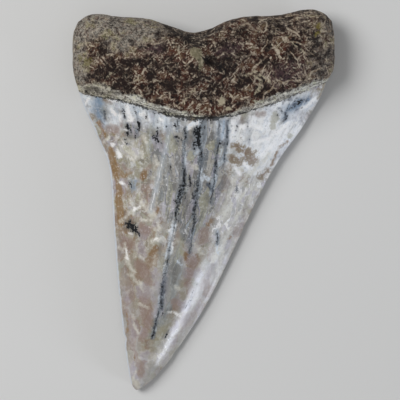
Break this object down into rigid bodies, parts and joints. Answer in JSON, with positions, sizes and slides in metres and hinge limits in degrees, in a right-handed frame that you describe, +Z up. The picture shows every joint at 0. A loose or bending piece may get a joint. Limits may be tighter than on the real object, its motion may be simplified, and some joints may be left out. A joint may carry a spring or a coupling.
{
  "type": "fossil mako shark tooth",
  "caption": "Fossil mako shark tooth lying on its flat labial face: a broad two-lobed root and a smooth-edged blade that leans to one side.",
  "frame": {"origin": "on the surface that the tooth lies on, under the centre of its outline's box", "axes": "+X across the root, to the right as seen from above with the root up; +Y from the tip to the root; +Z up, out of the rounded lingual face"},
  "size_m": [0.0414, 0.06, 0.0121],
  "materials": {
    "fossil_tooth": "satin"
  },
  "bodies": {
    "root": {"tooth": "fossil_tooth"}
  },
  "joints": []
}
